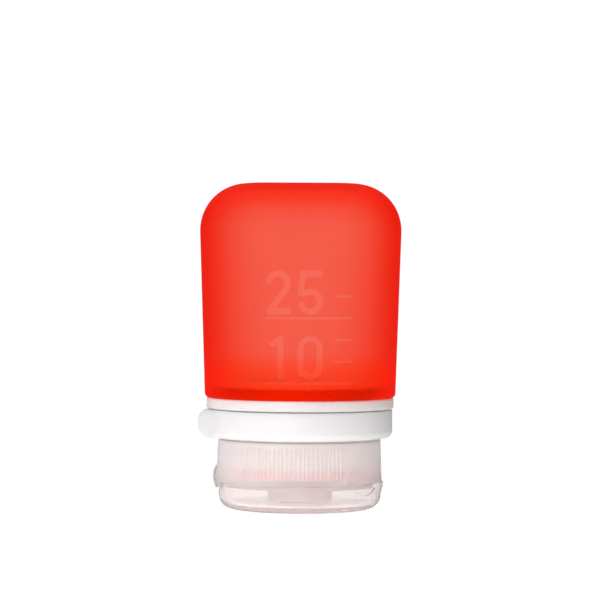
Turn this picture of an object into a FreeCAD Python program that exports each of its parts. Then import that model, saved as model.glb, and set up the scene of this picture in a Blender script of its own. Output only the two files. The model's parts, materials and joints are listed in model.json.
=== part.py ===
"""Travel squeeze bottle of soft silicone, standing on its flip-top cap.

Millimetres, +Z up. The origin is on the cap's axis, on the surface that the bottle stands on.
+X is the right of the front view and -Y faces the viewer.
"""
import FreeCAD
import Part

import math
import os

from FreeCAD import Vector

# Silicone body
BODY_HEIGHT = 45.9
BODY_WIDTH = 43.8
BODY_DEPTH = 36.8
BODY_CORNER = 15.0
BODY_TOP_ROUND = 10.4
BODY_OVERHANG = 0.35
BODY_NECK_FLAT = 0.6
BODY_NECK_ROUND = 1.0
BODY_WALL = 2.2
BODY_FLANGE = 2.0
BODY_INNER_NECK_ROUND = 0.8

# Neck insert, the rigid threaded mouth that is clamped through the silicone
NECK_BORE = 13.0
NECK_WALL = 1.9
NECK_FLANGE_REACH = 2.45
NECK_FLANGE = 1.3
NECK_RIM_CHAMFER = 0.35
SNAP_BEAD_HEIGHT = 1.0
SNAP_BEAD_REACH = 0.7

# Screw thread shared by the neck and the cap
THREAD_PITCH = 3.6
THREAD_TURNS = 1.2
THREAD_DEPTH = 0.9
THREAD_BASE = 1.5
THREAD_CREST = 0.8
THREAD_CLEARANCE = 0.45
THREAD_FLANK_GAP = 0.12
THREAD_LEAD_IN = 0.5
THREAD_ROOTING = 0.3
THREAD_START_ANGLE = 60.0

# Clamp ring and the carrying loop below it
RING_HEIGHT = 2.2
RING_OVERHANG = 0.25
RING_EDGE_ROUND = 0.25
RING_FIT = 0.15
LOOP_ROOM = 3.2
LOOP_WALL = 1.8
LOOP_HEIGHT = 6.0
LOOP_LOWER_ROUND = 1.5
LOOP_UPPER_ROUND = 0.2
LOOP_TOP_GAP = 0.3
LOOP_CAP_GAP = 0.4

# Hinge of the loop's gate, at the right
PIN_RADIUS = 0.6
PIN_ANGLE = 7.0
PIN_INSET = 1.45
PIN_RUNNING_FIT = 0.06
PIN_END_INSET = 0.4
PIN_SEAT_DEPTH = 1.1
KNUCKLE_RADIUS = 1.6
KNUCKLE_GAP = 0.3
KNUCKLE_SHARE = 0.48

# Latch and finger tab of the gate, at the left
LATCH_GAP = 0.3
LATCH_BLOCK_LENGTH = 3.4
LATCH_BLOCK_INWARD = 1.4
STUD_RADIUS = 0.75
STUD_LENGTH = 2.0
STUD_FIT = 0.2
TAB_REACH = 2.05
TAB_TANGENT_ANGLE = 25.0
TAB_ROUND = 2.2

# Screw cap
CAP_ANGLE = -5.0
SKIRT_LENGTH = 8.9
SKIRT_WALL = 1.75
SKIRT_DRAFT = 0.35
SKIRT_EDGE_ROUND = 0.5
DECK_THICKNESS = 2.1
DECK_SPIGOT = 1.1
SPOUT_BORE = 5.6
SPOUT_WALL = 1.3
SPOUT_LENGTH = 3.2
SCOOP_HALF_ANGLE = 52.0
SCOOP_HEIGHT = 9.2
SCOOP_DEPTH = 0.3
RIB_PITCH = 0.92
RIB_RADIUS = 0.2
RIB_FROM_ANGLE = 56.0
RIB_TO_ANGLE = 131.0
RIB_BOTTOM_INSET = 1.4
RIB_TOP_INSET = 1.1

# Flip lid
LID_HEIGHT = 5.7
LID_INSET = 0.4
LID_WALL = 1.1
LID_END_WALL = 1.3
LID_ROUND = 2.8
LID_DRAFT = 0.35
LID_PARTING_GAP = 0.2
LID_SPIGOT_FIT = 0.25
LIP_REACH = 0.4
LIP_HEIGHT = 0.5
LIP_TAPER = 2.6
LIP_HALF_ANGLE = 22.0
NAIL_NOTCH_ANGLE = 32.0
NAIL_NOTCH_HALF_ANGLE = 13.0
NAIL_NOTCH_DROP = 0.8
NAIL_NOTCH_HEIGHT = 1.5
NAIL_NOTCH_DEPTH = 0.5
BOSS_RADIUS = 4.6
BOSS_WALL = 1.0
BOSS_VALVE_GAP = 0.3

# Strap that is the lid's living hinge
STRAP_WIDTH = 5.0
STRAP_THICKNESS = 0.3
STRAP_BOW = 0.7
STRAP_SKIRT_REACH = 3.4
STRAP_LID_REACH = 1.6
STRAP_ROOTING = 0.25
STRAP_LID_GAP = 0.05

# Slit valve, its retainer and the neck seal
VALVE_FLANGE_REACH = 2.0
VALVE_FLANGE = 0.8
VALVE_WALL = 0.8
VALVE_FIT = 0.3
VALVE_MEMBRANE = 0.6
VALVE_DROP = 2.9
VALVE_SLIT = 0.15
VALVE_SLIT_LENGTH = 6.0
RETAINER_HEIGHT = 1.2
RETAINER_LIP = 0.4
RETAINER_FIT = 0.05
RETAINER_WALL = 1.0
RETAINER_WALL_RISE = 0.2
SEAL_THICKNESS = 1.4
SEAL_INNER_INSET = 0.4
SEAL_OUTER_FIT = 0.35
SEAL_FACE_GAP = 0.05

# Heights that follow from the stack of pieces
SHOULDER_Z = LID_HEIGHT + LID_PARTING_GAP
DECK_BOTTOM_Z = SHOULDER_Z - DECK_SPIGOT
DECK_TOP_Z = DECK_BOTTOM_Z + DECK_THICKNESS
SEAL_Z = DECK_TOP_Z + SEAL_FACE_GAP
NECK_RIM_Z = SEAL_Z + SEAL_THICKNESS + SEAL_FACE_GAP
SKIRT_TOP_Z = SHOULDER_Z + SKIRT_LENGTH
LOOP_Z = SKIRT_TOP_Z + LOOP_CAP_GAP
LOOP_TOP_Z = LOOP_Z + LOOP_HEIGHT
RING_Z = LOOP_TOP_Z + LOOP_TOP_GAP
RING_TOP_Z = RING_Z + RING_HEIGHT
BODY_TOP_Z = RING_TOP_Z + BODY_HEIGHT
NECK_FLANGE_Z = RING_TOP_Z + BODY_FLANGE
VALVE_FLANGE_TOP_Z = DECK_TOP_Z + VALVE_FLANGE
MEMBRANE_Z = DECK_TOP_Z - VALVE_DROP

# Radii that follow from the fits
NECK_RADIUS = NECK_BORE + NECK_WALL
THREAD_RADIUS = NECK_RADIUS + THREAD_DEPTH
CAP_BORE = THREAD_RADIUS + THREAD_CLEARANCE
SKIRT_RADIUS = CAP_BORE + SKIRT_WALL
RING_BORE = NECK_RADIUS + RING_FIT
LOOP_BORE = NECK_RADIUS + LOOP_ROOM
LOOP_RADIUS = LOOP_BORE + LOOP_WALL
RING_RADIUS = LOOP_RADIUS + RING_OVERHANG
BODY_NECK_END = 2 * (RING_RADIUS + BODY_OVERHANG)
LID_RADIUS = SKIRT_RADIUS - LID_INSET
LID_BORE = LID_RADIUS - LID_WALL
SPIGOT_RADIUS = LID_BORE - LID_SPIGOT_FIT
VALVE_RADIUS = SPOUT_BORE - VALVE_FIT
VALVE_FLANGE_RADIUS = SPOUT_BORE + VALVE_FLANGE_REACH
RETAINER_BORE = VALVE_RADIUS - RETAINER_LIP
RETAINER_WALL_BORE = VALVE_FLANGE_RADIUS + 2 * RETAINER_FIT + RETAINER_WALL
RETAINER_RADIUS = RETAINER_WALL_BORE - RETAINER_FIT
PIN_CENTRE_RADIUS = LOOP_RADIUS - PIN_INSET

# Tools that only need to pass clean through what they cut
OVERCUT = 1.0

UP = Vector(0, 0, 1)
ORIGIN = Vector(0, 0, 0)


def polar(radius, angle, z=0.0):
    """The point at a radius and an angle in degrees about the axis."""
    turn = math.radians(angle)
    return Vector(radius * math.cos(turn), radius * math.sin(turn), z)


def disc(radius, bottom, top, centre=ORIGIN):
    """A solid cylinder on an upright axis."""
    return Part.makeCylinder(radius, top - bottom, Vector(centre.x, centre.y, bottom), UP)


def tube(bore, radius, bottom, top):
    """A plain ring with a square section."""
    return disc(radius, bottom, top).cut(disc(bore, bottom - OVERCUT, top + OVERCUT))


def turned(points, angle=360.0):
    """A solid turned about the axis from an outline of (radius, height) points."""
    outline = [Vector(r, 0, z) for r, z in points]
    face = Part.Face(Part.makePolygon(outline + outline[:1]))
    return face.revolve(ORIGIN, UP, angle)


def spun(shape, angle):
    """A copy turned about the axis."""
    copy = shape.copy()
    copy.rotate(ORIGIN, UP, angle)
    return copy


def rims(shape, radius, height):
    """The circular edges of a turned solid at a radius and a height."""
    return [
        edge
        for edge in shape.Edges
        if edge.Curve.TypeId == "Part::GeomCircle"
        and abs(edge.Curve.Radius - radius) < 1e-4
        and abs(edge.Curve.Center.z - height) < 1e-4
    ]


def wedge(from_angle, to_angle, radius, bottom, top):
    """A pie slice of less than a full turn."""
    outline = [(0, bottom), (radius, bottom), (radius, top), (0, top)]
    return spun(turned(outline, to_angle - from_angle), from_angle)


def block(low, high):
    """A box between two corners."""
    size = high - low
    return Part.makeBox(size.x, size.y, size.z, low)


def thread_ridge(base_radius, crest_radius, turns, start_angle, start_z):
    """One helical ridge, rooted a little below the wall that it stands on."""
    rooting = math.copysign(THREAD_ROOTING, base_radius - crest_radius)
    section = [
        Vector(base_radius + rooting, 0, -THREAD_BASE / 2),
        Vector(crest_radius, 0, -THREAD_CREST / 2),
        Vector(crest_radius, 0, THREAD_CREST / 2),
        Vector(base_radius + rooting, 0, THREAD_BASE / 2),
    ]
    profile = Part.makePolygon(section + section[:1])
    helix = Part.makeHelix(THREAD_PITCH, THREAD_PITCH * turns, base_radius)
    ridge = Part.Wire(helix).makePipeShell([profile], True, True)
    ridge = spun(ridge, start_angle)
    ridge.translate(Vector(0, 0, start_z))
    return ridge


def body_wire(z, inset):
    """The body's plan at a height: round at the neck end, a soft rectangle at the closed end."""
    share = (z - RING_TOP_Z) / BODY_HEIGHT
    width = BODY_NECK_END + share * (BODY_WIDTH - BODY_NECK_END) - 2 * inset
    depth = BODY_NECK_END + share * (BODY_DEPTH - BODY_NECK_END) - 2 * inset
    neck_corner = BODY_NECK_END / 2 - BODY_NECK_FLAT
    corner = neck_corner + share * (BODY_CORNER - neck_corner) - inset
    x, y = width / 2, depth / 2
    slant = corner * (1 - math.sqrt(0.5))
    edges = []
    for sx, sy in ((1, -1), (1, 1), (-1, 1), (-1, -1)):
        side_end = Vector(sx * x, sy * (y - corner), z)
        front_end = Vector(sx * (x - corner), sy * y, z)
        middle = Vector(sx * (x - slant), sy * (y - slant), z)
        first, last = (front_end, side_end) if sx * sy < 0 else (side_end, front_end)
        if edges:
            edges.append(Part.LineSegment(edges[-1].EndPoint, first))
        edges.append(Part.Arc(first, middle, last))
    edges.append(Part.LineSegment(edges[-1].EndPoint, edges[0].StartPoint))
    return Part.Wire([edge.toShape() for edge in edges])


def body_form(bottom, top, inset, top_round, bottom_round):
    """The body's closed form between two heights, with its end edges rounded."""
    form = Part.makeLoft([body_wire(bottom, inset), body_wire(top, inset)], True, True)
    for height, radius in ((top, top_round), (bottom, bottom_round)):
        ring = [
            edge
            for edge in form.Edges
            if abs(edge.BoundBox.ZMin - height) < 1e-4 and abs(edge.BoundBox.ZMax - height) < 1e-4
        ]
        form = form.makeFillet(radius, ring)
    return form


def bottle_body():
    """The squeezable silicone shell, open through its flange at the neck end."""
    outer = body_form(RING_TOP_Z, BODY_TOP_Z, 0, BODY_TOP_ROUND, BODY_NECK_ROUND)
    cavity = body_form(
        NECK_FLANGE_Z,
        BODY_TOP_Z - BODY_WALL,
        BODY_WALL,
        BODY_TOP_ROUND - BODY_WALL,
        BODY_INNER_NECK_ROUND,
    )
    mouth = disc(RING_BORE, RING_TOP_Z - OVERCUT, NECK_FLANGE_Z + OVERCUT)
    return outer.cut(cavity).cut(mouth)


def neck_insert():
    """The threaded mouth: its flange lies inside the bottle and its tube comes out through it."""
    flange_radius = NECK_RADIUS + NECK_FLANGE_REACH
    flange_top = NECK_FLANGE_Z + NECK_FLANGE
    bead_bottom = RING_Z - SNAP_BEAD_HEIGHT
    barrel = turned(
        [
            (NECK_BORE, NECK_RIM_Z),
            (NECK_RADIUS - NECK_RIM_CHAMFER, NECK_RIM_Z),
            (NECK_RADIUS, NECK_RIM_Z + NECK_RIM_CHAMFER),
            (NECK_RADIUS, bead_bottom),
            (NECK_RADIUS + SNAP_BEAD_REACH, RING_Z - SNAP_BEAD_HEIGHT / 2),
            (NECK_RADIUS + SNAP_BEAD_REACH, RING_Z),
            (NECK_RADIUS, RING_Z),
            (NECK_RADIUS, NECK_FLANGE_Z),
            (flange_radius, NECK_FLANGE_Z),
            (flange_radius, flange_top - NECK_RIM_CHAMFER),
            (flange_radius - NECK_RIM_CHAMFER, flange_top),
            (NECK_BORE, flange_top),
        ]
    )
    start_z = NECK_RIM_Z + NECK_RIM_CHAMFER + THREAD_LEAD_IN + THREAD_BASE / 2
    ridge = thread_ridge(NECK_RADIUS, THREAD_RADIUS, THREAD_TURNS, THREAD_START_ANGLE, start_z)
    return barrel.fuse(ridge).removeSplitter()


def loop_envelope(bore, bottom=LOOP_Z, top=LOOP_TOP_Z):
    """The loop's full ring section down to a bore, with its outer edges rounded."""
    ring = tube(bore, LOOP_RADIUS, bottom, top)
    ring = ring.makeFillet(LOOP_LOWER_ROUND, rims(ring, LOOP_RADIUS, bottom))
    return ring.makeFillet(LOOP_UPPER_ROUND, rims(ring, LOOP_RADIUS, top))


def pin_axis_disc(radius, bottom, top):
    """A cylinder on the axis of the gate's hinge."""
    return disc(radius, bottom, top, polar(PIN_CENTRE_RADIUS, PIN_ANGLE))


def gate_knuckle_span():
    """Bottom and top of the gate's knuckle, centred in the loop's height."""
    middle = (LOOP_Z + LOOP_TOP_Z) / 2
    half = KNUCKLE_SHARE * LOOP_HEIGHT / 2
    return middle - half, middle + half


def knuckle_notch(bottom, top):
    """The straight-sided clearance around a knuckle, wide enough for the gate to swing right out."""
    clear = KNUCKLE_RADIUS + KNUCKLE_GAP
    notch = block(
        Vector(PIN_CENTRE_RADIUS - clear, -clear, bottom),
        Vector(LOOP_RADIUS + OVERCUT, clear, top),
    )
    return spun(notch, PIN_ANGLE)


def knuckle(bottom, top):
    """A hinge knuckle that stays flush with the loop's rounded outside."""
    reach = PIN_CENTRE_RADIUS - KNUCKLE_RADIUS - OVERCUT
    return pin_axis_disc(KNUCKLE_RADIUS, bottom, top).common(loop_envelope(reach))


def latch_socket_centre():
    """Centre of the stud and its socket, on the parting plane at the left."""
    radius = LOOP_RADIUS - (LOOP_WALL + LATCH_BLOCK_INWARD) / 2
    return Vector(-radius, 0, (LOOP_Z + LOOP_TOP_Z) / 2)


def latch_block(from_y, to_y):
    """The thickened end of the loop beside the parting plane at the left."""
    inner = LOOP_BORE - LATCH_BLOCK_INWARD
    span = block(
        Vector(-LOOP_RADIUS - OVERCUT, from_y, LOOP_Z),
        Vector(-inner * math.cos(math.asin(LATCH_BLOCK_LENGTH / inner)), to_y, LOOP_TOP_Z),
    )
    return loop_envelope(inner).common(span)


def clamp_collar():
    """The clamp ring, one moulding with the rear half of the carrying loop."""
    ring = tube(RING_BORE, RING_RADIUS, RING_Z, RING_TOP_Z)
    ring = ring.makeFillet(
        RING_EDGE_ROUND,
        rims(ring, RING_RADIUS, RING_Z) + rims(ring, RING_RADIUS, RING_TOP_Z),
    )
    low, high = gate_knuckle_span()
    rear = loop_envelope(LOOP_BORE).common(
        wedge(PIN_ANGLE, 180, LOOP_RADIUS + OVERCUT, LOOP_Z, LOOP_TOP_Z)
    )
    neck_of_rear = tube(LOOP_BORE, LOOP_RADIUS - LOOP_WALL / 2, LOOP_TOP_Z, RING_Z).common(
        wedge(PIN_ANGLE, 180, LOOP_RADIUS + OVERCUT, LOOP_TOP_Z, RING_Z)
    )
    keep_behind = block(
        Vector(-LOOP_RADIUS - OVERCUT, -LOOP_RADIUS, LOOP_Z - OVERCUT),
        Vector(0, LATCH_GAP / 2, RING_Z),
    )
    rear = rear.fuse([neck_of_rear, latch_block(LATCH_GAP / 2, LATCH_BLOCK_LENGTH)])
    rear = rear.cut(keep_behind)
    rear = rear.cut(knuckle_notch(low - KNUCKLE_GAP, high + KNUCKLE_GAP))
    link = pin_axis_disc(KNUCKLE_RADIUS - KNUCKLE_GAP, high + KNUCKLE_GAP, RING_Z)
    knuckles = [knuckle(LOOP_Z, low - KNUCKLE_GAP), knuckle(high + KNUCKLE_GAP, LOOP_TOP_Z), link]
    collar = ring.fuse([rear] + knuckles).removeSplitter()
    pin_hole = pin_axis_disc(PIN_RADIUS, LOOP_Z - OVERCUT, RING_Z + PIN_SEAT_DEPTH)
    centre = latch_socket_centre()
    socket = Part.makeCylinder(
        STUD_RADIUS + STUD_FIT, STUD_LENGTH + 2 * STUD_FIT, centre, Vector(0, 1, 0)
    )
    return collar.cut(pin_hole).cut(socket)


def tab_outline():
    """The gate's free end seen from the front, a prism with its outer corners rounded."""
    low = Vector(-LOOP_RADIUS - TAB_REACH, -LOOP_RADIUS, LOOP_Z)
    prism = block(low, Vector(0, 0, LOOP_TOP_Z))
    corners = [
        edge
        for edge in prism.Edges
        if abs(edge.BoundBox.XMax - low.x) < 1e-4 and edge.BoundBox.YLength > LOOP_RADIUS / 2
    ]
    return prism.makeFillet(TAB_ROUND, corners)


def finger_tab():
    """The end of the gate that leaves the ring along a tangent, for a finger to pull."""
    tangent = polar(LOOP_RADIUS, 180 + TAB_TANGENT_ANGLE)
    tip_x = -LOOP_RADIUS - TAB_REACH
    slope = math.tan(math.radians(TAB_TANGENT_ANGLE))
    tip_y = min(-LATCH_GAP / 2, tangent.y + (tangent.x - tip_x) / slope)
    outline = [
        Vector(tangent.x, tangent.y, LOOP_Z),
        Vector(tip_x, tip_y, LOOP_Z),
        Vector(tip_x, -LATCH_GAP / 2, LOOP_Z),
        Vector(0, -LATCH_GAP / 2, LOOP_Z),
        Vector(0, tangent.y, LOOP_Z),
    ]
    plan = [point for i, point in enumerate(outline) if point != outline[i - 1]]
    slab = Part.Face(Part.makePolygon(plan + plan[:1])).extrude(Vector(0, 0, LOOP_HEIGHT))
    slab = slab.cut(disc(LOOP_BORE, LOOP_Z - OVERCUT, LOOP_TOP_Z + OVERCUT))
    return slab.common(tab_outline())


def loop_gate():
    """The front half of the carrying loop, which swings out about the pin."""
    low, high = gate_knuckle_span()
    arc = loop_envelope(LOOP_BORE).common(
        wedge(180, 360 + PIN_ANGLE, LOOP_RADIUS + OVERCUT, LOOP_Z, LOOP_TOP_Z)
    )
    keep_in_front = block(
        Vector(-LOOP_RADIUS - OVERCUT, -LATCH_GAP / 2, LOOP_Z - OVERCUT),
        Vector(0, LOOP_RADIUS, LOOP_TOP_Z + OVERCUT),
    )
    band = arc.fuse([finger_tab(), latch_block(-LATCH_BLOCK_LENGTH, -LATCH_GAP / 2)])
    band = band.cut(keep_in_front)
    band = band.cut(knuckle_notch(LOOP_Z - OVERCUT, low))
    band = band.cut(knuckle_notch(high, LOOP_TOP_Z + OVERCUT))
    stud = Part.makeCylinder(
        STUD_RADIUS,
        STUD_LENGTH + LATCH_GAP,
        latch_socket_centre() - Vector(0, LATCH_GAP, 0),
        Vector(0, 1, 0),
    )
    gate = band.fuse([knuckle(low, high), stud]).removeSplitter()
    return gate.cut(pin_axis_disc(PIN_RADIUS + PIN_RUNNING_FIT, LOOP_Z - OVERCUT, LOOP_TOP_Z + OVERCUT))


def gate_hinge_pin():
    """The straight pin that the gate turns on, pressed into the collar."""
    pin = pin_axis_disc(PIN_RADIUS, LOOP_Z + PIN_END_INSET, RING_Z + PIN_SEAT_DEPTH)
    ends = [edge for edge in pin.Edges if edge.Curve.TypeId == "Part::GeomCircle"]
    return pin.makeChamfer(PIN_RADIUS / 4, ends)


def neck_seal():
    """The soft washer between the neck's rim and the cap's deck."""
    return tube(NECK_BORE - SEAL_INNER_INSET, CAP_BORE - SEAL_OUTER_FIT, SEAL_Z, SEAL_Z + SEAL_THICKNESS)


def skirt_radius_at(z):
    """The skirt's outer radius at a height, smaller towards its open end."""
    return SKIRT_RADIUS - SKIRT_DRAFT * (z - SHOULDER_Z) / SKIRT_LENGTH


def cap_shell():
    """The cap without its grip and thread: skirt, deck, spout and the wall around the valve."""
    spout_radius = SPOUT_BORE + SPOUT_WALL
    spout_end = DECK_BOTTOM_Z - SPOUT_LENGTH
    wall_top = VALVE_FLANGE_TOP_Z + RETAINER_HEIGHT + RETAINER_WALL_RISE
    shell = turned(
        [
            (SPOUT_BORE, spout_end),
            (spout_radius, spout_end),
            (spout_radius, DECK_BOTTOM_Z),
            (SPIGOT_RADIUS, DECK_BOTTOM_Z),
            (SPIGOT_RADIUS, SHOULDER_Z),
            (SKIRT_RADIUS, SHOULDER_Z),
            (SKIRT_RADIUS - SKIRT_DRAFT, SKIRT_TOP_Z),
            (CAP_BORE, SKIRT_TOP_Z),
            (CAP_BORE, DECK_TOP_Z),
            (RETAINER_WALL_BORE + RETAINER_WALL, DECK_TOP_Z),
            (RETAINER_WALL_BORE + RETAINER_WALL, wall_top),
            (RETAINER_WALL_BORE, wall_top),
            (RETAINER_WALL_BORE, DECK_TOP_Z),
            (SPOUT_BORE, DECK_TOP_Z),
        ]
    )
    edges = rims(shell, SKIRT_RADIUS - SKIRT_DRAFT, SKIRT_TOP_Z) + rims(shell, spout_radius, spout_end)
    return shell.makeFillet(SKIRT_EDGE_ROUND, edges)


def thumb_scoop():
    """The arched recess that lets a thumb reach under the lid's lip."""
    reach = 2 * SKIRT_RADIUS
    shell = turned(
        [
            (SKIRT_RADIUS - SCOOP_DEPTH, SHOULDER_Z - OVERCUT),
            (reach, SHOULDER_Z - OVERCUT),
            (reach, SKIRT_TOP_Z + OVERCUT),
            (SKIRT_RADIUS - SKIRT_DRAFT - SCOOP_DEPTH, SKIRT_TOP_Z + OVERCUT),
        ]
    )
    half_width = SKIRT_RADIUS * math.sin(math.radians(SCOOP_HALF_ANGLE))
    long_side, short_side = max(half_width, SCOOP_HEIGHT), min(half_width, SCOOP_HEIGHT)
    arch = Part.Ellipse(ORIGIN, long_side, short_side)
    face = Part.Face(Part.Wire(arch.toShape()))
    if SCOOP_HEIGHT > half_width:
        face.rotate(ORIGIN, UP, 90)
    prism = face.extrude(Vector(0, 0, reach))
    prism.rotate(ORIGIN, Vector(1, 1, 1), 120)
    prism.translate(Vector(0, 0, SHOULDER_Z))
    return prism.common(shell)


def grip_ribs():
    """Fine upright ribs in two panels, one on each side of the thumb's side."""
    bottom, top = SHOULDER_Z + RIB_BOTTOM_INSET, SKIRT_TOP_Z - RIB_TOP_INSET
    step = math.degrees(RIB_PITCH / SKIRT_RADIUS)
    count = int((RIB_TO_ANGLE - RIB_FROM_ANGLE) / step) + 1
    foot = Vector(skirt_radius_at(bottom), 0, bottom)
    head = Vector(skirt_radius_at(top), 0, top)
    rib = Part.makeCylinder(RIB_RADIUS, foot.distanceToPoint(head), foot, head - foot)
    return [
        spun(rib, side * (RIB_FROM_ANGLE + i * step)) for side in (1, -1) for i in range(count)
    ]


def screw_cap():
    """The knurled cap that carries the spout, modelled with its thumb side towards +X."""
    contact = (THREAD_BASE + THREAD_CREST) / 2 * (1 - THREAD_CLEARANCE / THREAD_DEPTH)
    offset = contact + THREAD_CREST * THREAD_CLEARANCE / THREAD_DEPTH + THREAD_FLANK_GAP
    start_z = NECK_RIM_Z + NECK_RIM_CHAMFER + THREAD_LEAD_IN + THREAD_BASE / 2 + offset
    room = SKIRT_TOP_Z - SKIRT_EDGE_ROUND - THREAD_BASE / 2 - start_z
    turns = min(THREAD_TURNS, room / THREAD_PITCH)
    ridge = thread_ridge(CAP_BORE, CAP_BORE - THREAD_DEPTH, turns, THREAD_START_ANGLE - CAP_ANGLE, start_z)
    cap = cap_shell().fuse(ridge).cut(thumb_scoop())
    cap = cap.fuse(grip_ribs()).removeSplitter()
    return spun(cap, CAP_ANGLE)


def lid_radius_at(z):
    """The lid's outer radius at a height above its rounded end."""
    return LID_RADIUS - LID_DRAFT * (LID_HEIGHT - z) / LID_HEIGHT


def flip_lid():
    """The clear lid, a shallow cup whose boss backs the valve when it is shut."""
    end_radius = lid_radius_at(0)
    cup = turned([(0, 0), (end_radius, 0), (LID_RADIUS, LID_HEIGHT), (0, LID_HEIGHT)])
    cup = cup.makeFillet(LID_ROUND, rims(cup, end_radius, 0))
    hollow = turned(
        [
            (0, LID_END_WALL),
            (end_radius - LID_WALL, LID_END_WALL),
            (LID_BORE, LID_HEIGHT),
            (LID_BORE, LID_HEIGHT + OVERCUT),
            (0, LID_HEIGHT + OVERCUT),
        ]
    )
    inner_round = LID_ROUND - (LID_WALL + LID_END_WALL) / 2
    hollow = hollow.makeFillet(inner_round, rims(hollow, end_radius - LID_WALL, LID_END_WALL))
    boss = tube(BOSS_RADIUS - BOSS_WALL, BOSS_RADIUS, LID_END_WALL / 2, MEMBRANE_Z - BOSS_VALVE_GAP)
    lid = cup.fuse(lid_lip()).cut(hollow).fuse(boss)
    lid = lid.cut([nail_notch(NAIL_NOTCH_ANGLE), nail_notch(-NAIL_NOTCH_ANGLE)])
    return spun(lid.removeSplitter(), CAP_ANGLE)


def lid_lip():
    """The thumb lip: an off-centre cone that stands out of the lid at the thumb's side only."""
    rise = LID_RADIUS * (1 - math.cos(math.radians(LIP_HALF_ANGLE)))
    offset = LIP_REACH * (2 * LID_RADIUS + LIP_REACH) / (2 * (rise + LIP_REACH))
    radius = LID_RADIUS + LIP_REACH - offset
    taper_z, edge_z = LID_HEIGHT - LIP_TAPER, LID_HEIGHT - LIP_HEIGHT
    foot = Vector(offset, 0, taper_z)
    cone = Part.makeCone(lid_radius_at(taper_z) - offset, radius, edge_z - taper_z, foot, UP)
    return cone.fuse(disc(radius, edge_z, LID_HEIGHT, foot))


def nail_notch(angle):
    """A crescent beside the lid's lip, wide enough for a fingernail."""
    top = LID_HEIGHT - NAIL_NOTCH_DROP
    reach = 2 * SKIRT_RADIUS
    half_width = LID_RADIUS * math.sin(math.radians(NAIL_NOTCH_HALF_ANGLE))
    sag = NAIL_NOTCH_HEIGHT
    radius = (half_width**2 + sag**2) / (2 * sag)
    crescent = Part.makeCylinder(radius, reach, Vector(0, 0, top + radius - sag), Vector(1, 0, 0))
    skin = tube(LID_RADIUS - NAIL_NOTCH_DEPTH, reach, 0, top)
    return spun(crescent.common(skin), angle)


def lid_hinge_strap():
    """The thin flat strap, bowed outwards, that joins the skirt to the lid."""
    top_z, bottom_z = SHOULDER_Z + STRAP_SKIRT_REACH, LID_HEIGHT - STRAP_LID_REACH
    top_radius = skirt_radius_at(top_z) - STRAP_ROOTING
    bottom_radius = lid_radius_at(bottom_z) + STRAP_LID_GAP
    middle_z = (top_z + bottom_z) / 2
    crown = SKIRT_RADIUS + STRAP_BOW
    outer = [
        Vector(bottom_radius + STRAP_THICKNESS, 0, bottom_z),
        Vector(crown, 0, middle_z),
        Vector(top_radius + STRAP_THICKNESS, 0, top_z),
    ]
    inner = [
        Vector(bottom_radius, 0, bottom_z),
        Vector(crown - STRAP_THICKNESS, 0, middle_z),
        Vector(top_radius, 0, top_z),
    ]
    edges = [
        Part.Arc(*outer),
        Part.LineSegment(outer[2], inner[2]),
        Part.Arc(*reversed(inner)),
        Part.LineSegment(inner[0], outer[0]),
    ]
    section = Part.Face(Part.Wire([edge.toShape() for edge in edges]))
    section.translate(Vector(0, -STRAP_WIDTH / 2, 0))
    strap = section.extrude(Vector(0, STRAP_WIDTH, 0))
    return spun(strap, CAP_ANGLE + 180)


def slit_valve():
    """The soft cup valve that hangs in the spout and opens only under pressure."""
    bore = VALVE_RADIUS - VALVE_WALL
    cup = turned(
        [
            (0, MEMBRANE_Z),
            (VALVE_RADIUS, MEMBRANE_Z),
            (VALVE_RADIUS, DECK_TOP_Z),
            (VALVE_FLANGE_RADIUS, DECK_TOP_Z),
            (VALVE_FLANGE_RADIUS, VALVE_FLANGE_TOP_Z),
            (bore, VALVE_FLANGE_TOP_Z),
            (bore, MEMBRANE_Z + VALVE_MEMBRANE),
            (0, MEMBRANE_Z + VALVE_MEMBRANE),
        ]
    )
    half = Vector(VALVE_SLIT_LENGTH / 2, VALVE_SLIT / 2, 0)
    slit = block(
        Vector(-half.x, -half.y, MEMBRANE_Z - OVERCUT),
        Vector(half.x, half.y, MEMBRANE_Z + VALVE_MEMBRANE + OVERCUT),
    )
    return spun(cup.cut(slit.fuse(spun(slit, 90))), CAP_ANGLE)


def valve_retainer():
    """The ring that is pressed over the valve's flange to hold it on the deck."""
    top = VALVE_FLANGE_TOP_Z + RETAINER_HEIGHT
    ring = tube(RETAINER_BORE, RETAINER_RADIUS, VALVE_FLANGE_TOP_Z, top)
    return ring.makeChamfer(RETAINER_LIP / 2, rims(ring, RETAINER_RADIUS, top))


PIECES = (
    bottle_body,
    neck_insert,
    clamp_collar,
    gate_hinge_pin,
    loop_gate,
    neck_seal,
    screw_cap,
    slit_valve,
    valve_retainer,
    lid_hinge_strap,
    flip_lid,
)


def main():
    os.makedirs("parts", exist_ok=True)
    for piece in PIECES:
        shape = piece()
        shape.exportStep(f"parts/{piece.__name__}.step")
        print(piece.__name__, len(shape.Solids), "solid", shape.isValid(), round(shape.Volume, 1), "mm3")


main()
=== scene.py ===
"""Looks of a small squeeze bottle that stands on its cap: red silicone body, white clamp ring and loop,
frosted screw cap and clear flip lid."""

import json
import math

import bpy
import numpy as np
from mathutils import Matrix, Vector


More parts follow.
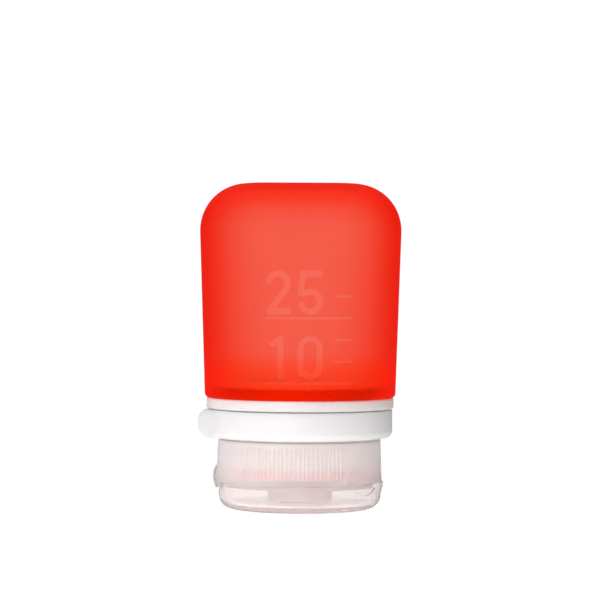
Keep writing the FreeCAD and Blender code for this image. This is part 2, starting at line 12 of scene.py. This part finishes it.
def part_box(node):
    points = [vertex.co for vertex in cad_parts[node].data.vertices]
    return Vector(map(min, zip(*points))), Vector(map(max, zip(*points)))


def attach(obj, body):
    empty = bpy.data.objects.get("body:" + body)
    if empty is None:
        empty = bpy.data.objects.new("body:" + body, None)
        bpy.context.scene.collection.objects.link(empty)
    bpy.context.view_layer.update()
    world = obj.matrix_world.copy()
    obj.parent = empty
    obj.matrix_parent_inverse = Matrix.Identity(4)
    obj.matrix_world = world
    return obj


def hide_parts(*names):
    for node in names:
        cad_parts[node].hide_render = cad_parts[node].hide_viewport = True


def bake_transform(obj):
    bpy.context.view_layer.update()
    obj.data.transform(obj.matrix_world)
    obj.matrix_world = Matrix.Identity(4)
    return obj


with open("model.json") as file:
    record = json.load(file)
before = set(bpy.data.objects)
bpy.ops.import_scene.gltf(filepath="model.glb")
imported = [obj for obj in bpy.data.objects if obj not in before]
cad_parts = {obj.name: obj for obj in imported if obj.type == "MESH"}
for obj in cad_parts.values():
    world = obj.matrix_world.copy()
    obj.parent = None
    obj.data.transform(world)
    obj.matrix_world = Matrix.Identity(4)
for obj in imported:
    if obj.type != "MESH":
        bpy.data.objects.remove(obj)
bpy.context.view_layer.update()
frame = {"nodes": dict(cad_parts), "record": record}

MM = 0.001

# Camera, from the photograph's frame of 600 pixels
PHOTO_SIDE = 600
FOCAL_PIXELS = 2164
SENSOR_WIDTH = 36.0
CAMERA_DISTANCE = 467 * MM
CAMERA_HEIGHT = 44.7 * MM
CAMERA_SIDEWAYS = -0.11 * MM
CAMERA_ROLL = math.radians(0.25)

# Silicone body, in millimetres above the surface that it stands on
BODY_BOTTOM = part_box("bottle_body")[0].z / MM
BODY_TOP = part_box("bottle_body")[1].z / MM
NECK_END_WIDTH = 41.0
NECK_END_CORNER = 19.9
CLOSED_END_WIDTH = 43.8
CLOSED_END_DEPTH = 36.8
CLOSED_END_CORNER = 15.0
OUTER_TOP_ROUND = 10.4
OUTER_BOTTOM_ROUND = 1.0
WALL = 2.2
FLANGE = 2.0
INNER_BOTTOM_ROUND = 0.8
MOUTH_RADIUS = 15.05
# Heights where the foot's painted tint and glow fade out, and where the closed end's painted glow starts to
# brighten
FOOT_TOP = 27.5
FOOT_FADE_TOP = 34.5
CROWN_FADE_BOTTOM = 61.0

# How finely the body is divided: arcs in degrees, steps down the wall in millimetres, counts of rows
MARK_ARC = (-125, -57)
MARK_ARC_STEP = 0.42
PLAIN_ARC_STEP = 2.5
WITNESS_ARC = 1.2
WITNESS_ARC_STEP = 0.15
WITNESS_ROOM = 2
MARK_ROW_STEP = 0.15
MARK_ROOM_ABOVE = 0.6
MARK_ROOM_BELOW = 0.8
INNER_WALL_ROWS = 10
OUTER_TOP_ROWS = 22
OUTER_BOTTOM_ROWS = 8
INNER_TOP_ROWS = 18
INNER_BOTTOM_ROWS = 6

# Level marks pressed into the front of the body
MARK_DEPTH = 0.65
MARK_EDGE = 0.2
MARK_LEFT = -7.4
MARK_RIGHT = 10.8
DIGIT_WIDTH = 5.4
DIGIT_HEIGHT = 9.2
DIGIT_GAP = 1.4
DIGIT_STROKE = 1.35
DIGIT_RAISE = 0.75
LINE_STROKE = 0.5
TICK_LEFT = 7.4
LEVEL_HEIGHTS = {10: 27.3, 15: 31.8, 20: 36.4, 25: 40.9, 30: 45.5}
NUMBERED_LEVELS = (10, 25)

# Witness line of the mould around the body's sides and over its closed end
PARTING_RISE = 0.05
PARTING_HALF_WIDTH = 0.14

# Film strap of the lid's hinge
STRAP_ANGLE = math.radians(175)
STRAP_WIDTH = 5.0
STRAP_THICKNESS = 0.3
STRAP_FILM = 0.18
STRAP_TOP = (17.766, 9.3)
STRAP_CROWN = (18.55, 6.7)
STRAP_BOTTOM = (17.702, 4.1)
PARTING_HEIGHT = 5.8
STRAP_FILM_HALF_HEIGHT = 0.3
STRAP_ROWS = 28
STRAP_COLUMNS = 13

# Floor, so far below that the unscrewed cap and the opened lid stay above it
FLOOR_WIDTH = 8000
FLOOR_DROP = 40
FLOOR_GLOW = 0.78

# Light: one large soft box, and a white room whose strength depends on what meets it
KEY_PLACE = (-250, -730, 140)
KEY_SIDE = 450
KEY_WATTS = 2.9
KEY_AIM_HEIGHT = 35
ROOM_LIGHT = 0.28
ROOM_FALL_TO_RIGHT = 0.23
ROOM_MIRROR_LOSS = 0.75
ROOM_SEEN_GAIN = 0.77
ROOM_THROUGH_GAIN = 0.98
BOUNCES = {
    "max_bounces": 32,
    "transmission_bounces": 32,
    "glossy_bounces": 16,
    "diffuse_bounces": 8,
}


class Wire:
    """A shader socket that can stand in a sum: each sum adds one Math node."""

    def __init__(self, sheet, socket):
        self.sheet = sheet
        self.socket = socket

    def math(self, operation, first, second):
        return self.sheet.node("Math", {"operation": operation}, {0: first, 1: second})

    def __add__(self, other):
        return self.math("ADD", self, other)

    def __radd__(self, other):
        return self.math("ADD", other, self)

    def __sub__(self, other):
        return self.math("SUBTRACT", self, other)

    def __rsub__(self, other):
        return self.math("SUBTRACT", other, self)

    def __mul__(self, other):
        return self.math("MULTIPLY", self, other)

    def __rmul__(self, other):
        return self.math("MULTIPLY", other, self)


class Sheet:
    """The nodes of one material or of the world."""

    def __init__(self, owner):
        self.owner = owner
        owner.use_nodes = True
        self.tree = owner.node_tree
        self.tree.nodes.clear()

    def node(self, kind, settings=None, sockets=None, output=0):
        made = self.tree.nodes.new("ShaderNode" + kind)
        for name, value in (settings or {}).items():
            setattr(made, name, value)
        for name, value in (sockets or {}).items():
            self.feed(made.inputs[name], value)
        return Wire(self, made.outputs[output]) if made.outputs else made

    def feed(self, socket, value):
        if isinstance(value, Wire):
            self.tree.links.new(value.socket, socket)
        else:
            socket.default_value = value

    def place(self):
        """Where a point of the piece is, in metres in the bottle's frame."""
        return self.node("TexCoord", output=3)

    def noise(self, size_mm, detail=3.0, rough=0.55, stretch=(1, 1, 1)):
        """Soft noise between 0 and 1 whose features are about size_mm across."""
        where = self.node("Mapping", sockets={"Vector": self.place(), "Scale": stretch})
        sockets = {"Vector": where, "Scale": 1 / (size_mm * MM), "Detail": detail, "Roughness": rough}
        return self.node("TexNoise", sockets=sockets)

    def rise(self, start_mm, end_mm):
        """A share that goes smoothly from 0 at one height to 1 at another."""
        parts = self.node("SeparateXYZ", sockets={"Vector": self.place()}, output=2)
        ends = {"Value": parts, "From Min": start_mm * MM, "From Max": end_mm * MM}
        return self.node("MapRange", {"interpolation_type": "SMOOTHSTEP"}, ends)

    def tint(self, share, first, second):
        """A colour between two, by a share from 0 to 1. Each colour is a triple or a wire."""
        first, second = (c if isinstance(c, Wire) else (*c, 1) for c in (first, second))
        return self.node("Mix", {"data_type": "RGBA"}, {0: share, 6: first, 7: second}, 2)

    def bump(self, height, depth_mm, strength=1.0):
        sockets = {"Height": height, "Distance": depth_mm * MM, "Strength": strength}
        return self.node("Bump", sockets=sockets)

    def surface(self, **sockets):
        named = {name.replace("_", " "): value for name, value in sockets.items()}
        shader = self.node("BsdfPrincipled", sockets=named)
        self.node("OutputMaterial", sockets={"Surface": shader})

    def filling(self, colour, per_metre):
        """Absorption inside the piece."""
        inside = self.node("VolumeAbsorption", sockets={"Color": (*colour, 1), "Density": per_metre})
        out = next(n for n in self.tree.nodes if n.type == "OUTPUT_MATERIAL")
        self.feed(out.inputs["Volume"], inside)


def new_finish(name):
    return Sheet(bpy.data.materials.new(name))


def red_silicone():
    """Translucent silicone with a satin skin: thin walls glow lighter than the thick margins. A faint red
    glow is painted over it, brighter towards the closed end, and the foot has a painted redder tint and a
    stronger glow; both stand in for light scattered inside the silicone.
    """
    sheet = new_finish("red_silicone")
    cloud = sheet.noise(14, detail=2.0)
    skin = sheet.noise(0.35, detail=4.0)
    thin = sheet.tint(cloud, (0.86, 0.92, 0.99), (0.88, 0.94, 1.0))
    # Painted light at the foot: a redder tint and a stronger red glow stand in for light scattered in the
    # thick silicone there.
    foot = sheet.rise(FOOT_FADE_TOP, FOOT_TOP)
    crown = sheet.rise(CROWN_FADE_BOTTOM, BODY_TOP)
    # Painted glow: faint red emission over the body, brighter towards the closed end, stands in for light
    # scattered inside the silicone.
    glow = sheet.tint(crown, (0.33, 0.08, 0.01), (0.66, 0.19, 0.08))
    sheet.surface(
        Base_Color=sheet.tint(foot, thin, (0.8, 0.6, 0.5)),
        Roughness=0.48 + 0.1 * skin,
        IOR=1.12,
        Specular_Tint=(1.0, 0.35, 0.06, 1.0),
        Transmission_Weight=1.0,
        Emission_Color=sheet.tint(foot, glow, (1.0, 0.09, 0.0)),
        Emission_Strength=0.1,
        Normal=sheet.bump(skin, 0.012),
    )
    sheet.filling((0.997, 0.425, 0.31), 900.0)
    return sheet.owner


def white_plastic():
    """White polypropylene with the faint drag of its mould."""
    sheet = new_finish("white_plastic")
    cloud = sheet.noise(9, detail=2.0)
    grain = sheet.noise(0.5, detail=4.0, stretch=(1, 1, 0.25))
    sheet.surface(
        Base_Color=sheet.tint(cloud, (0.87, 0.857, 0.85), (0.895, 0.882, 0.875)),
        Roughness=0.36 + 0.14 * grain,
        IOR=1.49,
        Subsurface_Weight=1.0,
        Subsurface_Radius=(1.0, 0.98, 0.97),
        Subsurface_Scale=3.0 * MM,
        Normal=sheet.bump(grain, 0.01),
    )
    return sheet.owner


def frosted_plastic():
    """Natural polypropylene: milky, so what is behind it shows only as soft tints."""
    sheet = new_finish("frosted_plastic")
    flow = sheet.noise(5, detail=3.0, stretch=(1, 1, 0.4))
    grain = sheet.noise(0.4, detail=4.0)
    sheet.surface(
        Base_Color=sheet.tint(flow, (0.975, 0.93, 0.925), (0.985, 0.945, 0.94)),
        Roughness=0.36 + 0.16 * grain,
        IOR=1.17,
        Transmission_Weight=0.55,
        Normal=sheet.bump(grain, 0.012),
    )
    return sheet.owner


def clear_plastic():
    """Clear polypropylene with a slight haze and flow lines."""
    sheet = new_finish("clear_plastic")
    flow = sheet.noise(3.5, detail=3.0, stretch=(1, 1, 0.5))
    sheet.surface(
        Base_Color=sheet.tint(flow, (0.985, 0.955, 0.95), (0.995, 0.97, 0.965)),
        Roughness=0.16 + 0.09 * flow,
        IOR=1.18,
        Transmission_Weight=0.85,
        Normal=sheet.bump(flow, 0.03),
    )
    sheet.filling((0.985, 0.88, 0.875), 90.0)
    return sheet.owner


def seal_silicone():
    """The soft washer, a fuller red than the body because it is solid."""
    sheet = new_finish("seal_silicone")
    cloud = sheet.noise(3, detail=3.0)
    sheet.surface(
        Base_Color=sheet.tint(cloud, (0.92, 0.04, 0.06), (0.96, 0.08, 0.1)),
        Roughness=0.45 + 0.15 * cloud,
        IOR=1.41,
        Normal=sheet.bump(cloud, 0.02),
    )
    return sheet.owner


def valve_silicone():
    """Silicone that lets some light through. Its red is painted light: it stands in for red light from the
    body, which shows as a pink centre behind the lid.
    """
    sheet = new_finish("valve_silicone")
    cloud = sheet.noise(2, detail=3.0)
    sheet.surface(
        # Painted light: the red base colour stands in for light from the red body that reaches the valve.
        Base_Color=sheet.tint(cloud, (0.86, 0.05, 0.05), (0.89, 0.09, 0.09)),
        Roughness=0.42 + 0.15 * cloud,
        IOR=1.41,
        Transmission_Weight=0.3,
        Normal=sheet.bump(cloud, 0.015),
    )
    return sheet.owner


def pin_steel():
    """Drawn stainless wire, with fine lines along its length."""
    sheet = new_finish("pin_steel")
    lines = sheet.noise(0.12, detail=3.0, stretch=(1, 1, 0.05))
    sheet.surface(
        Base_Color=sheet.tint(lines, (0.5, 0.5, 0.49), (0.66, 0.65, 0.63)),
        Metallic=1.0,
        Roughness=0.22 + 0.2 * lines,
        Normal=sheet.bump(lines, 0.004),
    )
    return sheet.owner


def to_segment(x, z, start, end):
    """Distance from points to a straight stroke."""
    along = np.array(end) - np.array(start)
    share = ((x - start[0]) * along[0] + (z - start[1]) * along[1]) / (along @ along)
    share = np.clip(share, 0, 1)
    return np.hypot(x - start[0] - share * along[0], z - start[1] - share * along[1])


def to_arc(x, z, centre, radius, middle, half_sweep):
    """Distance from points to a round stroke, about a middle direction in degrees."""
    dx, dz = x - centre[0], z - centre[1]
    turn = np.degrees(np.arctan2(dz, dx)) - middle
    turn = (turn + 180) % 360 - 180
    held = np.radians(middle + np.clip(turn, -half_sweep, half_sweep))
    return np.hypot(dx - radius * np.cos(held), dz - radius * np.sin(held))


def digit_strokes(digit, x, z):
    """Distances from points to each stroke of a digit that stands on (0, 0)."""
    wide, tall = DIGIT_WIDTH - DIGIT_STROKE, DIGIT_HEIGHT - DIGIT_STROKE
    bowl = wide / 2
    x, z = x - DIGIT_STROKE / 2, z - DIGIT_STROKE / 2
    if digit == "0":
        return [
            to_arc(x, z, (bowl, tall - bowl), bowl, 90, 90),
            to_arc(x, z, (bowl, bowl), bowl, -90, 90),
            to_segment(x, z, (0, bowl), (0, tall - bowl)),
            to_segment(x, z, (wide, bowl), (wide, tall - bowl)),
        ]
    if digit == "1":
        stem = 0.62 * wide
        return [
            to_segment(x, z, (stem, 0), (stem, tall)),
            to_segment(x, z, (stem, tall), (stem - 0.42 * wide, tall - 0.3 * wide)),
        ]
    if digit == "2":
        return [
            to_arc(x, z, (bowl, tall - bowl), bowl, 70, 100),
            to_segment(x, z, (bowl + bowl * math.cos(math.radians(-30)), tall - 1.5 * bowl), (0, 0)),
            to_segment(x, z, (0, 0), (wide, 0)),
        ]
    return [
        to_segment(x, z, (wide, tall), (0.12 * wide, tall)),
        to_segment(x, z, (0.12 * wide, tall), (0, 1.85 * bowl)),
        to_arc(x, z, (bowl, bowl), bowl, -15, 145),
    ]


def pressed(distance, half_width):
    """Depth of a stroke with soft edges, from the distance to its middle line."""
    share = np.clip((half_width + MARK_EDGE / 2 - distance) / MARK_EDGE, 0, 1)
    return MARK_DEPTH * share * share * (3 - 2 * share)


def mark_depth(x, z):
    """Depth of the level marks at points of the front, in millimetres."""
    depth = np.zeros_like(x)
    for level, height in LEVEL_HEIGHTS.items():
        numbered = level in NUMBERED_LEVELS
        left = MARK_LEFT if numbered else TICK_LEFT
        line = to_segment(x, z, (left, height), (MARK_RIGHT, height))
        depth = np.maximum(depth, pressed(line, LINE_STROKE / 2))
        if not numbered:
            continue
        for place, digit in enumerate(str(level)):
            foot = (MARK_LEFT + place * (DIGIT_WIDTH + DIGIT_GAP), height + DIGIT_RAISE)
            for stroke in digit_strokes(digit, x - foot[0], z - foot[1]):
                depth = np.maximum(depth, pressed(stroke, DIGIT_STROKE / 2))
    return depth


def section(z, inset):
    """Half width, half depth and corner radius of the body's plan at a height."""
    share = (z - BODY_BOTTOM) / (BODY_TOP - BODY_BOTTOM)
    half_width = (NECK_END_WIDTH + share * (CLOSED_END_WIDTH - NECK_END_WIDTH)) / 2 - inset
    half_depth = (NECK_END_WIDTH + share * (CLOSED_END_DEPTH - NECK_END_WIDTH)) / 2 - inset
    corner = NECK_END_CORNER + share * (CLOSED_END_CORNER - NECK_END_CORNER) - inset
    return half_width, half_depth, corner


def plan_radius(angles, half_width, half_depth, corner):
    """Distance from the axis to a rounded rectangle along each angle."""
    c, s = np.abs(np.cos(angles)), np.abs(np.sin(angles))
    c, s = np.maximum(c, 1e-9), np.maximum(s, 1e-9)
    to_side, to_front = half_width / c, half_depth / s
    cx, cy = half_width - corner, half_depth - corner
    middle = c * cx + s * cy
    to_corner = middle + np.sqrt(np.maximum(middle**2 - (cx**2 + cy**2 - corner**2), 0))
    at_side = to_side * s <= cy
    at_front = to_front * c <= cx
    return np.where(at_side, to_side, np.where(at_front, to_front, to_corner))


def body_angles():
    """Columns around the body: close together at the marks and at the two witness lines."""
    first, last = MARK_ARC
    front = np.arange(first, last, MARK_ARC_STEP)
    plain_arcs = (
        (last, -WITNESS_ROOM),
        (WITNESS_ROOM, 180 - WITNESS_ROOM),
        (180 + WITNESS_ROOM, first + 360),
    )
    plain = np.concatenate([np.arange(start, end, PLAIN_ARC_STEP) for start, end in plain_arcs])
    witness = np.arange(-WITNESS_ARC, WITNESS_ARC + 0.1, WITNESS_ARC_STEP)
    turns = np.concatenate([front, plain, witness, 180 + witness])
    return np.radians(np.sort(np.mod(turns, 360)))


def wall_heights(bottom, top):
    """Rows down a wall: close together at the marks."""
    highest_number = max(LEVEL_HEIGHTS[level] for level in NUMBERED_LEVELS)
    mark_top = highest_number + DIGIT_RAISE + DIGIT_HEIGHT + MARK_ROOM_ABOVE
    mark_bottom = min(LEVEL_HEIGHTS.values()) - MARK_ROOM_BELOW
    upper = np.linspace(top, mark_top, 5)[:-1]
    marks = np.arange(mark_top, mark_bottom, -MARK_ROW_STEP)
    return np.concatenate([upper, marks, np.linspace(marks[-1], bottom, 4)[1:]])


def round_rows(edge_z, radius, inset, rising, steps):
    """Heights and insets around the edge of the top end, if rising, or the bottom one, out to the wall."""
    turns = np.radians(np.linspace(90, 0, steps))
    side = 1 if rising else -1
    return [
        (edge_z - side * radius * (1 - math.sin(turn)), inset + radius * (1 - math.cos(turn)))
        for turn in turns
    ]


def form_ring(angles, z, inset):
    """Radius and height of each point of a level ring, inset from the outside."""
    radius = plan_radius(angles, *section(z, inset))
    return radius, np.full_like(angles, z)


def outer_rings(angles):
    """Rings of the outside, from the closed end's middle down to the mouth's edge."""
    rim = plan_radius(angles, *section(BODY_TOP, OUTER_TOP_ROUND))
    rings = [(rim * share, np.full_like(angles, BODY_TOP)) for share in (0.02, 0.3, 0.6, 0.85)]
    crown = round_rows(BODY_TOP, OUTER_TOP_ROUND, 0, True, OUTER_TOP_ROWS)
    rings += [form_ring(angles, *row) for row in crown]
    for z in wall_heights(BODY_BOTTOM + OUTER_BOTTOM_ROUND, BODY_TOP - OUTER_TOP_ROUND)[1:-1]:
        radius, height = form_ring(angles, z, 0)
        marks = mark_depth(radius * np.cos(angles), height)
        rings.append((radius - np.where(np.sin(angles) < 0, marks, 0), height))
    foot = round_rows(BODY_BOTTOM, OUTER_BOTTOM_ROUND, 0, False, OUTER_BOTTOM_ROWS)[::-1]
    rings += [form_ring(angles, *row) for row in foot]
    edge = rings[-1][0]
    for share in (0.35, 0.7, 1.0):
        rings.append((edge + share * (MOUTH_RADIUS - edge), np.full_like(angles, BODY_BOTTOM)))
    return [with_witness_line(angles, ring) for ring in rings]


def with_witness_line(angles, ring):
    """A ring with the fine raised line that the two halves of the mould leave at the sides."""
    radius, height = ring
    off = np.abs(radius * np.sin(angles)) / PARTING_HALF_WIDTH
    on_wall = height > BODY_BOTTOM + OUTER_BOTTOM_ROUND
    return radius + np.where(on_wall, PARTING_RISE * np.exp(-off**2), 0), height


def inner_rings(angles):
    """Rings of the inside, from the mouth's edge up to the middle of the closed end."""
    floor, roof = BODY_BOTTOM + FLANGE, BODY_TOP - WALL
    inner_round = OUTER_TOP_ROUND - WALL
    mouth = np.full_like(angles, MOUTH_RADIUS)
    rings = [(mouth, np.full_like(angles, floor))]
    foot = round_rows(floor, INNER_BOTTOM_ROUND, WALL, False, INNER_BOTTOM_ROWS)
    edge = form_ring(angles, *foot[0])[0]
    rings.append(((mouth + edge) / 2, np.full_like(angles, floor)))
    rings += [form_ring(angles, *row) for row in foot]
    for z in np.linspace(floor + INNER_BOTTOM_ROUND, roof - inner_round, INNER_WALL_ROWS)[1:-1]:
        rings.append(form_ring(angles, z, WALL))
    crown = round_rows(roof, inner_round, WALL, True, INNER_TOP_ROWS)[::-1]
    rings += [form_ring(angles, *row) for row in crown]
    rim = rings[-1][0]
    return rings + [(rim * share, np.full_like(angles, roof)) for share in (0.6, 0.3, 0.02)]


def mesh_object(name, points, faces, material):
    """A smooth-shaded mesh from points in millimetres."""
    mesh = bpy.data.meshes.new(name)
    mesh.from_pydata([tuple(p) for p in np.asarray(points) * MM], [], faces)
    mesh.validate()
    mesh.polygons.foreach_set("use_smooth", [True] * len(mesh.polygons))
    mesh.materials.append(material)
    made = bpy.data.objects.new(name, mesh)
    bpy.context.scene.collection.objects.link(made)
    return made


def band_faces(rows, columns, closed):
    """Quads between rows of points, each row a closed ring or an open line."""
    faces = []
    for row in range(rows - 1):
        here, below = row * columns, (row + 1) * columns
        for column in range(columns if closed else columns - 1):
            beside = (column + 1) % columns
            faces.append((here + column, here + beside, below + beside, below + column))
    return faces


def silicone_body(material):
    """The squeezable shell, outside and inside, with the level marks pressed into its front."""
    angles = body_angles()
    rings = outer_rings(angles) + inner_rings(angles)
    points = [
        (r * math.cos(angle), r * math.sin(angle), z)
        for radius, height in rings
        for r, angle, z in zip(radius, angles, height)
    ]
    count = len(angles)
    faces = [face[::-1] for face in band_faces(len(rings), count, True)]
    start = (len(rings) - 1) * count
    faces.append(tuple(range(count)))
    faces.append(tuple(range(start + count - 1, start - 1, -1)))
    body = mesh_object("silicone_body", points, faces, material)
    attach(body, "bottle")
    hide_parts("bottle_body")
    return body


def circle_through(first, middle, last):
    """Centre and radius of the circle through three points of a section."""
    (ax, ay), (bx, by), (cx, cy) = first, middle, last
    d = 2 * (ax * (by - cy) + bx * (cy - ay) + cx * (ay - by))
    a2, b2, c2 = ax * ax + ay * ay, bx * bx + by * by, cx * cx + cy * cy
    x = (a2 * (by - cy) + b2 * (cy - ay) + c2 * (ay - by)) / d
    y = (a2 * (cx - bx) + b2 * (ax - cx) + c2 * (bx - ax)) / d
    return np.array([x, y]), math.hypot(ax - x, ay - y)


def strap_section():
    """Middle line, outward direction and thickness along the strap, from the cap down to the lid."""
    centre, radius = circle_through(STRAP_TOP, STRAP_CROWN, STRAP_BOTTOM)
    ends = [math.atan2(p[1] - centre[1], p[0] - centre[0]) for p in (STRAP_TOP, STRAP_BOTTOM)]
    rows = []
    for turn in np.linspace(ends[0], ends[1], STRAP_ROWS):
        out = np.array([math.cos(turn), math.sin(turn)])
        middle = centre + radius * out
        film = math.exp(-(((middle[1] - PARTING_HEIGHT) / STRAP_FILM_HALF_HEIGHT) ** 2))
        rows.append((middle, out, STRAP_THICKNESS + film * (STRAP_FILM - STRAP_THICKNESS)))
    return rows


def hinge_strap(material):
    """The thin flat strap, bowed outwards, with a thinner line where it folds."""
    away = Vector((math.cos(STRAP_ANGLE), math.sin(STRAP_ANGLE), 0))
    along = Vector((-away.y, away.x, 0))
    steps = np.linspace(-STRAP_WIDTH / 2, STRAP_WIDTH / 2, STRAP_COLUMNS)
    points = []
    for middle, out, thickness in strap_section():
        outside, inside = middle + out * thickness / 2, middle - out * thickness / 2
        loop = [(outside, step) for step in steps] + [(inside, step) for step in steps[::-1]]
        points += [away * p[0] + along * step + Vector((0, 0, p[1])) for p, step in loop]
    columns = 2 * len(steps)
    rows = len(points) // columns
    faces = [face[::-1] for face in band_faces(rows, columns, True)]
    faces.append(tuple(range(columns)))
    faces.append(tuple(range(rows * columns - 1, (rows - 1) * columns - 1, -1)))
    strap = mesh_object("hinge_strap", points, faces, material)
    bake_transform(strap)
    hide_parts("lid_hinge_strap")
    return strap


def dress(finishes):
    """Give each piece of the frame its finish."""
    for subpart in frame["record"]["subparts"]:
        piece = frame["nodes"][subpart["node"]]
        piece.data.materials.clear()
        piece.data.materials.append(finishes[subpart["material_slot"]])


def floor_finish():
    """Matt white, with a glow of its own that keeps it as bright as the room."""
    sheet = new_finish("pale_floor")
    grain = sheet.noise(40, detail=2.0)
    sheet.surface(
        Base_Color=sheet.tint(grain, (0.9, 0.9, 0.9), (0.92, 0.92, 0.92)),
        Roughness=0.8,
        Specular_IOR_Level=0.0,
        Emission_Color=(1, 1, 1, 1),
        Emission_Strength=FLOOR_GLOW,
    )
    return sheet.owner


def pale_floor():
    """A wide level floor, well below the bottle."""
    half, low = FLOOR_WIDTH / 2, -FLOOR_DROP
    corners = [(-half, -half, low), (half, -half, low), (half, half, low), (-half, half, low)]
    floor = mesh_object("floor", corners, [(0, 1, 2, 3)], floor_finish())
    floor.visible_glossy = False


def studio_world():
    """A white room, darker at the right, and brighter where it is seen, straight or through the plastics."""
    world = bpy.data.worlds.new("studio")
    bpy.context.scene.world = world
    sheet = Sheet(world)
    seen = sheet.node("LightPath", output="Is Camera Ray")
    through = sheet.node("LightPath", output="Is Transmission Ray")
    mirrored = sheet.node("LightPath", output="Is Glossy Ray")
    right = sheet.node("SeparateXYZ", sockets={"Vector": sheet.node("TexCoord", output="Generated")})
    room = ROOM_LIGHT - ROOM_FALL_TO_RIGHT * right
    room = room * (1 - ROOM_MIRROR_LOSS * mirrored)
    strength = room + ROOM_SEEN_GAIN * seen + ROOM_THROUGH_GAIN * through
    light = sheet.node("Background", sockets={"Color": (1, 1, 1, 1), "Strength": strength})
    sheet.node("OutputWorld", sockets={"Surface": light})


def soft_box(name, place_mm, side_mm, watts):
    """A square light that faces the middle of the bottle."""
    light = bpy.data.lights.new(name, "AREA")
    light.energy = watts
    light.size = side_mm * MM
    lamp = bpy.data.objects.new(name, light)
    lamp.location = Vector(place_mm) * MM
    aim = Vector((0, 0, KEY_AIM_HEIGHT * MM)) - lamp.location
    lamp.rotation_euler = aim.to_track_quat("-Z", "Y").to_euler()
    bpy.context.scene.collection.objects.link(lamp)


def photo_camera():
    """The photograph's level view from the front."""
    data = bpy.data.cameras.new("camera")
    data.sensor_width = SENSOR_WIDTH
    data.lens = FOCAL_PIXELS / PHOTO_SIDE * SENSOR_WIDTH
    data.clip_start = 10 * MM
    camera = bpy.data.objects.new("camera", data)
    upright = Matrix.Rotation(math.radians(90), 4, "X")
    rolled = upright @ Matrix.Rotation(CAMERA_ROLL, 4, "Z")
    camera.matrix_world = Matrix.Translation((CAMERA_SIDEWAYS, -CAMERA_DISTANCE, CAMERA_HEIGHT)) @ rolled
    bpy.context.scene.collection.objects.link(camera)
    bpy.context.scene.camera = camera


finishes = {
    make.__name__: make()
    for make in (
        red_silicone,
        white_plastic,
        pin_steel,
        seal_silicone,
        frosted_plastic,
        valve_silicone,
        clear_plastic,
    )
}
dress(finishes)
silicone_body(finishes["red_silicone"])
hinge_strap(finishes["clear_plastic"])
pale_floor()
studio_world()
soft_box("key", KEY_PLACE, KEY_SIDE, KEY_WATTS)
photo_camera()
bpy.context.scene.view_settings.view_transform = "Standard"
for kind, most in BOUNCES.items():
    setattr(bpy.context.scene.cycles, kind, most)
